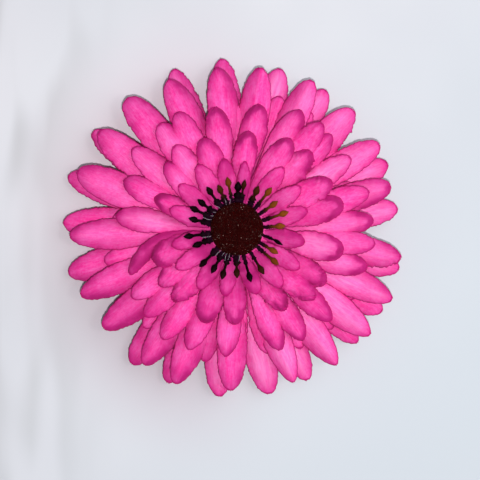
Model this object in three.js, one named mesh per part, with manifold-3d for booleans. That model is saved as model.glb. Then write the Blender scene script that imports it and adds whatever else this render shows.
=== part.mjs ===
// Fabric zinnia flower head, seen open from above: six die-cut sheets of heat-pressed petals, a moulded ring of
// stamens and a flocked centre button, held together by a pin that ends in a cap at the back.
// Millimetres, +Z up, origin in the middle of the cap's flat back, on which the flower rests.
// Azimuths are in degrees, counter-clockwise from +X.
import * as THREE from "three";
import { mergeVertices } from "three/addons/utils/BufferGeometryUtils.js";
import Module from "manifold-3d";

const wasm = await Module();
wasm.setup();

// The stack on the pin
const CLEARANCE = 0.3;
const SHEET_THICKNESS = 0.6;
const HUB_THICKNESS = 0.7;
const HUB_PITCH = HUB_THICKNESS + CLEARANCE;
const PIN_RADIUS = 1.6;
const PIN_HEAD_RADIUS = 3.2;
const PIN_HEAD_THICKNESS = 0.8;
const PIN_END_HEIGHT = 2.8;
const HOLE_RADIUS = PIN_RADIUS + CLEARANCE;
const CAP_HEIGHT = 7.7;
const CAP_BACK_RADIUS = 7.2;
const CAP_RIM_RADIUS = 9;

// Petals: a blade follows the hub flat at its root, rises, and curls down at its tip and along both edges
const ROOT_SINK = 2;
const ROOT_BREADTH = 0.8;
const RISE_EASING = 3;
const CROWN_RADIUS = 9;
const CURL_POWER = 7;
const TIP_FULLNESS = 2;
const TIP_BLUNTNESS = 0.26;
const TIP_ROUNDING = 0.5;
const ROUND_SIDES = 24;
const SHORTEST_EDGE = 0.03;
const THINNEST_TRIANGLE = 0.006;

// Each sheet: hub radius, half the angle that a petal spans, where its tip starts to round off as a share of its
// reach, slope, curl of the tip, how far every second petal is lifted over its neighbours, steps along and across
// a blade, and the petals' tips as [azimuth, reach], with a share of the usual breadth where a petal is broader
// or narrower than most, and the angle that its middle is bowed by where it isn't straight.
const SHEETS = [
  {
    name: "petal_sheet_1",
    hubRadius: 11,
    halfAngle: 7.2,
    shoulder: 0.72,
    rise: -0.045,
    curl: 1.6,
    stagger: 0,
    rows: 4,
    columns: 3,
    tips: [
      [7.8, 53.2, 1.05], [24, 54.2, 1.05], [44.5, 51.8], [58, 54.5, 1.03], [74.7, 54.7, 1.08],
      [94.7, 56.6], [111, 57, 1, 1.2], [129.5, 54.5], [146, 57.6, 1.05], [162.5, 58.6, 1.05],
      [177.3, 57.4, 1.1], [194.3, 57.5, 1.08], [215, 51.5], [231.5, 56.3, 1.05], [245.5, 55.5],
      [264, 55.2, 1, -2], [281.6, 55.5, 1.05], [296, 54.8], [315.5, 54.7], [330.5, 55.1, 1.05],
      [346.3, 55.1, 1.05],
    ],
  },
  {
    name: "petal_sheet_2",
    hubRadius: 11,
    halfAngle: 6.8,
    shoulder: 0.74,
    rise: 0.01,
    curl: 1.2,
    stagger: 0,
    rows: 3,
    columns: 2,
    tips: [
      [3, 42], [20, 42], [38, 42], [57.8, 45.5], [72, 45.9, 1.1], [90, 41], [106, 37.5], [122, 39],
      [138, 39], [156, 38], [175, 41], [193.5, 44.8], [209, 39.5], [226.5, 44.5], [241, 42],
      [256, 44.7], [270, 41], [284, 42], [298.5, 44.4], [314, 45.2], [330, 44.8], [347, 42],
    ],
  },
  {
    name: "petal_sheet_3",
    hubRadius: 10.5,
    halfAngle: 7.2,
    shoulder: 0.72,
    rise: 0.06,
    curl: 2.4,
    stagger: 0,
    rows: 4,
    columns: 3,
    tips: [
      [15.8, 52.3], [31.3, 54.1], [46, 54.4, 1.1], [63.8, 54.4], [81.3, 53.4, 1.05],
      [96.7, 53.2, 1.08, -0.5], [114, 53.7, 1.15, -0.5], [130.2, 56, 1.08], [145, 55.2, 1.08],
      [160.2, 55.4, 1.15], [181.6, 54.6, 1.05], [202.6, 55.3], [216, 54.2, 1.1], [235.5, 53.7, 1.05],
      [248.3, 54.1, 1.03], [267.7, 52.8, 1.03], [290.3, 53.2, 0.98], [306.2, 54.7], [321.3, 55, 1.05],
      [335.3, 55.3], [350.5, 54.4],
    ],
  },
  {
    name: "petal_sheet_4",
    hubRadius: 10.5,
    halfAngle: 7.2,
    shoulder: 0.76,
    rise: 0.175,
    curl: 2.6,
    stagger: 0.7,
    rows: 4,
    columns: 3,
    tips: [
      [3.5, 44.4], [15.8, 44.5], [32.3, 43.5], [44.8, 43.4], [51.3, 44, 1.08], [61.8, 43.8, 1.08],
      [79.8, 41.2, 1.15], [100.3, 40.2, 1.12], [117.3, 42.6, 1.05], [126.5, 42.3, 1.1],
      [142.6, 42.8, 1.1], [156.6, 40, 1.1], [173.8, 39.6, 1.1], [202, 37.8, 0.5, -10], [212.8, 40.7],
      [223.3, 41.1], [235.8, 43.1], [248, 42.1], [265, 41.5], [289.7, 41.6], [301, 42], [316, 42.6],
      [343.3, 44.1], [353.8, 45, 0.92],
    ],
  },
  {
    name: "petal_sheet_5",
    hubRadius: 10,
    halfAngle: 9.6,
    shoulder: 0.72,
    rise: 0.345,
    curl: 2.4,
    stagger: 0.7,
    rows: 4,
    columns: 3,
    tips: [
      [13.5, 35.3, 1.05], [26.8, 34.2, 1.05], [46, 34.6, 1.1], [59.3, 33.8, 1.05], [83, 31.9],
      [110.5, 31.2, 1.15], [127, 33.5, 1.05], [137.5, 31.4, 1.05], [158.8, 28.6], [200, 28.9],
      [215.5, 31, 1.05], [228.5, 30.8, 1.1], [250, 32, 1.1], [268.3, 30.7], [301, 30.4, 1.05],
      [318.5, 33.6, 1.05], [329, 33.6, 1.05], [348, 34.9, 1.08],
    ],
  },
  {
    name: "petal_sheet_6",
    hubRadius: 9,
    halfAngle: 10.8,
    shoulder: 0.66,
    rise: 0.52,
    curl: 1.6,
    stagger: 0.6,
    rows: 4,
    columns: 3,
    tips: [
      [15, 23.5], [33, 24.5], [53, 24.8], [83, 21.9, 0.8], [101, 22.9, 1.1], [121.5, 24.5, 1.15],
      [143, 23.5, 1.08], [164, 22.5, 1.08], [193, 21.6], [213, 23.2], [237, 22.9], [260, 21.9],
      [287, 21.9, 1.1], [308, 23.5], [328, 23.8], [350, 22.2, 1.1],
    ],
  },
];

// Stamen ring: a washer with stamens that slope up past the button, each [azimuth, reach]
const RING_THICKNESS = 0.8;
const RING_RADIUS = 7.6;
const STAMEN_ROOT = 6.6;
const STAMEN_SLOPE = 0.38;
const STAMEN_FLATNESS = 0.6;
const STAMEN_SIDES = 5;
const STAMENS = [
  [3.9, 15.2], [18.1, 16.6], [33.5, 15.2], [49, 16.1], [63.4, 15], [81.4, 15.6], [88.4, 14.9],
  [100.6, 16.2], [112.4, 14.8], [125.3, 16.6], [142.2, 15.7], [155.4, 16.3], [166.8, 15.6],
  [187.7, 16.9], [200.3, 15.3], [224.3, 16.7], [239.6, 15.7], [252.8, 16.4], [269.4, 14.9],
  [284.8, 16.9], [300.3, 15.9], [318.8, 16.8], [331.9, 14.9], [345.7, 14.6],
];
// Half width of a stamen against the distance back from its tip: anther, thin filament, then a wide foot
const ANTHER_PROFILE = [
  [0, 0.12],
  [0.9, 0.78],
  [1.9, 0.9],
  [2.9, 0.36],
];
const FOOT_HALF_WIDTH = 0.95;
const FOOT_END = 11.4;
const NECK_STEP = 0.5;

const BUTTON_RADIUS = 8.2;
const BUTTON_RIM_HEIGHT = 1.6;
const BUTTON_DOME_HEIGHT = 3.8;

const COLOURS = {
  petals: 0xf5429b,
  stamens: 0x120a0c,
  button: 0x2d0a08,
  pin: 0xe6e2d8,
  cap: 0x3f6b34,
};

const ringHeight = CAP_HEIGHT + CLEARANCE + SHEETS.length * HUB_PITCH;
const pinHeadHeight = ringHeight + RING_THICKNESS + CLEARANCE;
const buttonHeight = pinHeadHeight + PIN_HEAD_THICKNESS + CLEARANCE;

const radians = THREE.MathUtils.degToRad;

// A repeatable number from -1 to 1 for piece i of group k.
function scatter(i, k) {
  return Math.sin(i * 12.9898 + k * 78.233);
}

// A geometry whose faces share their vertices, as manifold-3d needs it.
function solid(geometry) {
  geometry.deleteAttribute("normal");
  geometry.deleteAttribute("uv");
  const merged = mergeVertices(geometry, 1e-4);
  return new wasm.Manifold(
    new wasm.Mesh({
      numProp: 3,
      vertProperties: merged.attributes.position.array,
      triVerts: new Uint32Array(merged.index.array),
    }),
  );
}

// Where surfaces cross, the cuts leave edges far shorter than the shape needs. Each is drawn together to a point,
// unless a third corner joins both its ends by faces that lie elsewhere.
function withoutShortEdges(positions, triangles) {
  const at = (vertex) => new THREE.Vector3().fromArray(positions, 3 * vertex);
  const neighbours = (vertex) =>
    new Set(triangles.filter((corners) => corners.includes(vertex)).flat().filter((other) => other !== vertex));
  const short = () => {
    for (const corners of triangles)
      for (let k = 0; k < 3; k++) {
        const [a, b] = [corners[k], corners[(k + 1) % 3]];
        if (at(a).distanceTo(at(b)) >= SHORTEST_EDGE) continue;
        const around = neighbours(b);
        if ([...neighbours(a)].filter((vertex) => around.has(vertex)).length === 2) return [a, b];
      }
    return null;
  };
  for (let edge = short(); edge; edge = short()) {
    const [kept, dropped] = edge;
    triangles = triangles
      .filter((corners) => !(corners.includes(kept) && corners.includes(dropped)))
      .map((corners) => corners.map((vertex) => (vertex === dropped ? kept : vertex)));
  }
  return triangles;
}

// A triangle that is all but flat has a corner beside its longest edge. That edge is turned to run to that corner.
function withoutSlivers(positions, triangles) {
  const at = (vertex) => new THREE.Vector3().fromArray(positions, 3 * vertex);
  const sides = (corners) => [0, 1, 2].map((k) => [corners[k], corners[(k + 1) % 3], corners[(k + 2) % 3]]);
  const length = ([a, b]) => at(a).distanceTo(at(b));
  for (const sliver of [...triangles]) {
    const [a, b, corner] = sides(sliver).reduce((longest, side) => (length(side) > length(longest) ? side : longest));
    const height = new THREE.Line3(at(a), at(b)).closestPointToPoint(at(corner), true, at(a)).distanceTo(at(corner));
    if (height > THINNEST_TRIANGLE || !triangles.includes(sliver)) continue;
    const beyond = triangles.find((corners) => sides(corners).some(([from, to]) => from === b && to === a));
    const far = beyond.find((vertex) => vertex !== a && vertex !== b);
    if (triangles.some((corners) => corners.includes(corner) && corners.includes(far))) continue;
    triangles = triangles.filter((corners) => corners !== sliver && corners !== beyond);
    triangles.push([a, far, corner], [far, b, corner]);
  }
  return triangles;
}

function geometryOf(manifold) {
  const made = manifold.getMesh();
  let triangles = [];
  for (let i = 0; i < made.triVerts.length; i += 3) triangles.push([...made.triVerts.subarray(i, i + 3)]);
  triangles = withoutSlivers(made.vertProperties, withoutShortEdges(made.vertProperties, triangles));
  const geometry = new THREE.BufferGeometry();
  geometry.setAttribute("position", new THREE.BufferAttribute(made.vertProperties, 3));
  geometry.setIndex(triangles.flat());
  geometry.computeVertexNormals();
  return geometry;
}

// A round solid from its profile, listed as [radius, height] up the outside and closed on itself.
function lathe(profile, sides = ROUND_SIDES) {
  const points = [...profile, profile[0]].map(([r, z]) => new THREE.Vector2(r, z));
  return new THREE.LatheGeometry(points, sides).rotateX(Math.PI / 2);
}

// A thin closed blade round the surface place(along, across), with both faces split into triangles alike. A corner's
// faces lie along the normal of its neighbours in the grid, because the surface itself turns back at the very tip.
function blade(place, rows, columns, thickness) {
  const perRow = columns + 1;
  const perFace = (rows + 1) * perRow;
  const positions = [];
  for (const side of [-0.5, 0.5])
    for (let i = 0; i <= rows; i++)
      for (let j = 0; j <= columns; j++) {
        const at = (row, column) => place(row / rows, (2 * column) / columns - 1);
        const alongStep = at(Math.min(i + 1, rows), j).sub(at(Math.max(i - 1, 0), j));
        const acrossStep = at(i, Math.min(j + 1, columns)).sub(at(i, Math.max(j - 1, 0)));
        const normal = alongStep.cross(acrossStep).normalize();
        positions.push(...at(i, j).addScaledVector(normal, side * thickness));
      }
  const index = [];
  for (let i = 0; i < rows; i++)
    for (let j = 0; j < columns; j++) {
      const a = i * perRow + j;
      const [b, c, d] = [a + perRow, a + perRow + 1, a + 1];
      index.push(a, c, b, a, d, c);
      index.push(...[a, b, c, a, c, d].map((vertex) => vertex + perFace));
    }
  const rim = [];
  for (let j = 0; j < columns; j++) rim.push(j);
  for (let i = 0; i < rows; i++) rim.push(i * perRow + columns);
  for (let j = columns; j > 0; j--) rim.push(rows * perRow + j);
  for (let i = rows; i > 0; i--) rim.push(i * perRow);
  rim.forEach((from, k) => {
    const to = rim[(k + 1) % rim.length];
    index.push(from, from + perFace, to + perFace, from, to + perFace, to);
  });
  const geometry = new THREE.BufferGeometry();
  geometry.setAttribute("position", new THREE.Float32BufferAttribute(positions, 3));
  geometry.setIndex(index);
  return geometry;
}

// The middle surface of one petal, in plan a wedge with a round tip that leans from its even root to its own tip.
function petalSurface(sheet, sheetNumber, petalNumber, rootAzimuth) {
  const [tipAzimuth, reach, breadth = 1, bow = 0] = sheet.tips[petalNumber];
  const start = sheet.hubRadius - ROOT_SINK;
  const shoulder = sheet.shoulder * reach;
  const roundOff = (reach - shoulder) / (1 - TIP_BLUNTNESS ** 2) ** (1 / TIP_FULLNESS);
  const roll = Math.tan(radians(5 * scatter(petalNumber, sheetNumber)));
  const lift = petalNumber % 2 ? sheet.stagger : 0;
  const hubMiddle = CAP_HEIGHT + CLEARANCE + sheetNumber * HUB_PITCH + HUB_THICKNESS / 2;
  return (along, across) => {
    const even = start + (reach - start) * Math.sin((along * Math.PI) / 2);
    const rounding = Math.sqrt(1 - Math.min(Math.max((even - shoulder) / roundOff, 0), 1) ** TIP_FULLNESS);
    const share = Math.max(even - sheet.hubRadius, 0) / (reach - sheet.hubRadius);
    const widening = ROOT_BREADTH + (breadth - ROOT_BREADTH) * Math.min(2 * share, 1);
    const halfWidth = radians(sheet.halfAngle) * Math.min(even, shoulder) * rounding * widening;
    const r = even - TIP_ROUNDING * across ** 2 * Math.max(along, 0) ** 8;
    const outward = Math.max(r - sheet.hubRadius, 0);
    const lean = (rootAzimuth - tipAzimuth) * (sheet.hubRadius / r) * Math.min(1 - share, 1);
    const azimuth = radians(tipAzimuth + lean + 4 * bow * share * (1 - share)) + (across * halfWidth) / r;
    const z =
      hubMiddle +
      sheet.rise * (outward ** 2 / (outward + RISE_EASING)) -
      sheet.curl * share ** CURL_POWER +
      lift * Math.min(2 * share, 1) +
      (roll * across * halfWidth - (across * halfWidth) ** 2 / (2 * CROWN_RADIUS)) * Math.min(3 * share, 1);
    return new THREE.Vector3(r * Math.cos(azimuth), r * Math.sin(azimuth), z);
  };
}

// One die-cut sheet: a flat hub with a hole for the pin, and petals whose roots are evenly spaced round it.
function petalSheet(sheet, sheetNumber) {
  const low = CAP_HEIGHT + CLEARANCE + sheetNumber * HUB_PITCH;
  const high = low + HUB_THICKNESS;
  let made = solid(
    lathe([
      [HOLE_RADIUS, low],
      [sheet.hubRadius, low],
      [sheet.hubRadius, high],
      [HOLE_RADIUS, high],
    ]),
  );
  const spacing = 360 / sheet.tips.length;
  const turn = sheet.tips.reduce((sum, [azimuth], i) => sum + azimuth - i * spacing, 0) / sheet.tips.length;
  for (let i = 0; i < sheet.tips.length; i++) {
    const surface = petalSurface(sheet, sheetNumber, i, turn + i * spacing);
    made = made.add(solid(blade(surface, sheet.rows, sheet.columns, SHEET_THICKNESS)));
  }
  return geometryOf(made);
}

// One stamen, turned on a lathe along +X and flattened, then tilted up and swung to its azimuth.
function stamen(azimuth, reach) {
  const profile = ANTHER_PROFILE.map(([back, half]) => [half, reach - back]);
  const neck = profile[profile.length - 1][0];
  profile.push([neck, FOOT_END + NECK_STEP], [FOOT_HALF_WIDTH, FOOT_END], [FOOT_HALF_WIDTH, STAMEN_ROOT]);
  const points = [[0, reach], ...profile, [0, STAMEN_ROOT]].map(([r, x]) => new THREE.Vector2(r, x));
  return new THREE.LatheGeometry(points.reverse(), STAMEN_SIDES)
    .rotateZ(-Math.PI / 2)
    .translate(-STAMEN_ROOT, 0, 0)
    .scale(1, 1, STAMEN_FLATNESS)
    .rotateY(-Math.atan(STAMEN_SLOPE))
    .translate(STAMEN_ROOT, 0, ringHeight + RING_THICKNESS / 2)
    .rotateZ(radians(azimuth));
}

function stamenRing() {
  const top = ringHeight + RING_THICKNESS;
  let made = solid(
    lathe([
      [HOLE_RADIUS, ringHeight],
      [RING_RADIUS, ringHeight],
      [RING_RADIUS, top],
      [HOLE_RADIUS, top],
    ]),
  );
  for (const [azimuth, reach] of STAMENS) made = made.add(solid(stamen(azimuth, reach)));
  return geometryOf(made);
}

// The button: a flat underside, a short round rim and a low dome.
function centreButton() {
  const dome = [];
  const steps = 6;
  for (let i = 0; i < steps; i++) {
    const angle = (i / steps) * (Math.PI / 2);
    dome.push([
      BUTTON_RADIUS * Math.cos(angle),
      buttonHeight + BUTTON_RIM_HEIGHT + (BUTTON_DOME_HEIGHT - BUTTON_RIM_HEIGHT) * Math.sin(angle),
    ]);
  }
  return lathe([
    [0, buttonHeight],
    [BUTTON_RADIUS - 0.9, buttonHeight],
    [BUTTON_RADIUS, buttonHeight + 0.9],
    ...dome,
    [0, buttonHeight + BUTTON_DOME_HEIGHT],
  ]);
}

function pin() {
  return lathe([
    [0, PIN_END_HEIGHT],
    [PIN_RADIUS, PIN_END_HEIGHT],
    [PIN_RADIUS, pinHeadHeight],
    [PIN_HEAD_RADIUS, pinHeadHeight],
    [PIN_HEAD_RADIUS, pinHeadHeight + PIN_HEAD_THICKNESS],
    [0, pinHeadHeight + PIN_HEAD_THICKNESS],
  ]);
}

// The cap: a low tapered cup, solid but for the blind hole that the pin presses into.
function backCap() {
  return lathe([
    [0, 0],
    [CAP_BACK_RADIUS, 0],
    [CAP_RIM_RADIUS, CAP_HEIGHT - 1.5],
    [CAP_RIM_RADIUS, CAP_HEIGHT],
    [HOLE_RADIUS, CAP_HEIGHT],
    [HOLE_RADIUS, PIN_END_HEIGHT - CLEARANCE],
    [0, PIN_END_HEIGHT - CLEARANCE],
  ]);
}

function mesh(name, geometry, color, roughness) {
  const made = new THREE.Mesh(geometry, new THREE.MeshStandardMaterial({ color, roughness, metalness: 0 }));
  made.name = name;
  return made;
}

const flower = new THREE.Group();
flower.name = "zinnia_flower";
SHEETS.forEach((sheet, i) => flower.add(mesh(sheet.name, petalSheet(sheet, i), COLOURS.petals, 0.8)));
flower.add(
  mesh("stamen_ring", stamenRing(), COLOURS.stamens, 0.35),
  mesh("centre_button", centreButton(), COLOURS.button, 0.9),
  mesh("pin", pin(), COLOURS.pin, 0.4),
  mesh("back_cap", backCap(), COLOURS.cap, 0.5),
);

export default flower;
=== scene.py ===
"""Looks of an artificial zinnia head: pressed fabric petals in six sheets, moulded stamens, a flocked button.

Forms are worked out in millimetres, and turned into metres when a mesh is made. Azimuths are in degrees.
"""

import math
from typing import NamedTuple

import bpy
import numpy as np
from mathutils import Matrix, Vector


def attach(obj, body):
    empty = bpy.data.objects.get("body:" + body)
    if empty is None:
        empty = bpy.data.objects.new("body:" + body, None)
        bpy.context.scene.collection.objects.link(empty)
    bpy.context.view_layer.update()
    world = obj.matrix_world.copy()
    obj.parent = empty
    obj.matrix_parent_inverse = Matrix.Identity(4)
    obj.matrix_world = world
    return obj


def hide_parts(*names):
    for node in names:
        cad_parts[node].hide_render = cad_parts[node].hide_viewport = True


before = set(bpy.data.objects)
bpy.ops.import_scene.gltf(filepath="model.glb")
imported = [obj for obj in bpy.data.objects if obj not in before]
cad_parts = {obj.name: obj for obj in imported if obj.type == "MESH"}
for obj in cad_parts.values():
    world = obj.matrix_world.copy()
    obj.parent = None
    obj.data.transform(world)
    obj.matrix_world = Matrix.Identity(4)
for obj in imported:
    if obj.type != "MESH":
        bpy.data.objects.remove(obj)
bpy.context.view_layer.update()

MM = 0.001

# Hubs of the petal sheets, lowest first. They lie where those of the solid sheets do, but are of thin fabric.
HUB_PITCH = 1.0
FIRST_HUB_MIDDLE = 8.35
HUB_THICKNESS = 0.36
HUB_SIDES = 72
PIN_HOLE_RADIUS = 1.9
FABRIC_THICKNESS = 0.28

# Form of a petal. A power says how suddenly something sets in toward the tip, or toward the edge.
ROOT_SINK = 2.0
ROOT_BREADTH = 0.8
RISE_EASING = 3.0
CROWN_RADIUS = 9.0
ROLL_SCATTER = 5.0
CURL_POWER = 7
END_POWER = 16
TIP_BLUNTNESS = 0.1
TIP_FULLNESS = 2.1
FULLNESS_SCATTER = 0.15
TIP_ROUNDING = 0.12
EDGE_ROLL = 0.22
EDGE_ROLL_POWER = 7

# Irregularities of a petal: lengths of the waves that are added up, and their depths
CCW_FRAY_WAVES = (1.3, 1.7, 2.6, 4.3, 7.1)
CW_FRAY_WAVES = (1.2, 1.5, 2.9, 4.0, 6.3)
FRAY_DEPTH = 0.2
TIP_FRAY_WAVES = (1.3, 2.1, 3.3)
TIP_FRAY_DEPTH = 0.16
TIP_FRAY_REACH = 4
CCW_RUFFLE_WAVES = (3.1, 5.3)
CW_RUFFLE_WAVES = (3.6, 4.9)
RUFFLE_DEPTH = 0.1
FRAYED_RUFFLE_DEPTH = 0.22
CREASES = 2
CREASE_PLACE = 0.55
CREASE_BREADTH = 0.1
CREASE_DEPTHS = (0.03, 0.2)
LENGTHWISE_CRUMPLE_WAVES = (4.4, 7.2)
CROSSWISE_CRUMPLE_WAVES = (3.2, 5.1)
PLEAT_WAVES = (1.7, 2.6)
PLEAT_SHARE = 0.5
FOLD_WAVES = (2.3, 3.7)
FOLD_DEPTH = 0.12
BEND_WAVES = (13, 27)
BEND_DEPTH = 0.3

# Depth of the painted shade: 0 is the bright middle of a petal, 1 a well bent tip, and more than 1 a tip bent
# far down
RIM_SHADE_WIDTH = 3.6
TIP_SHADE = 1.15
CENTRE_SHADE = 0.58
CENTRE_SHADE_RADIUS = 25.5
CENTRE_SHADE_FADE = 11
BENT_TIP_WIDTH = 2.1
BENT_TIP_FADE = 0.7
BENT_TIP_WAVES = (1.9, 3.7)
BENT_TIP_UNEVENNESS = 0.35
BENT_FROM = 0.95
BENT_SHADE = 2.4
DEEPEST_SHADE = 1.6
# How far inside the outline a petal's painted sheen begins
PALE_MARGIN = 2.2

# A petal's mesh is finer toward its tip and its two edges
PETAL_ROWS = 80
PETAL_COLUMNS = 18
COLUMN_CROWDING = 0.96
PETAL_SEEDS = 1000
CELLS_ACROSS = 8


class Petal(NamedTuple):
    """Where a petal's tip lies, and how it differs from a plain petal. A pair holds a value for each edge,
    the counter-clockwise one first.

    breadth is a share of the sheet's usual one. bow and swing turn the petal aside on its way out. sides and
    end say how far its edges and its tip fall, and frayed how ragged its edges are. lift is its height over
    its neighbours. fullness says how full its tip is, darker how much painted shade and pale how much painted
    sheen it has over the usual, and crumpled how high its crumples are.
    """

    azimuth: float
    reach: float
    breadth: float = 1
    bow: float = 0
    sides: tuple = (0.5, 0.5)
    end: float = 0.5
    frayed: tuple = (0.75, 0.75)
    lift: float = None
    fullness: float = None
    darker: float = 0
    pale: float = 0
    crumpled: float = 0
    swing: float = 0


class Sheet(NamedTuple):
    """A die-cut sheet. Its petals round off from the shoulder on, a share of their reach, and every other one
    is raised by stagger."""

    name: str
    hub_radius: float
    half_angle: float
    shoulder: float
    rise: float
    curl: float
    stagger: float
    petals: list


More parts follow.
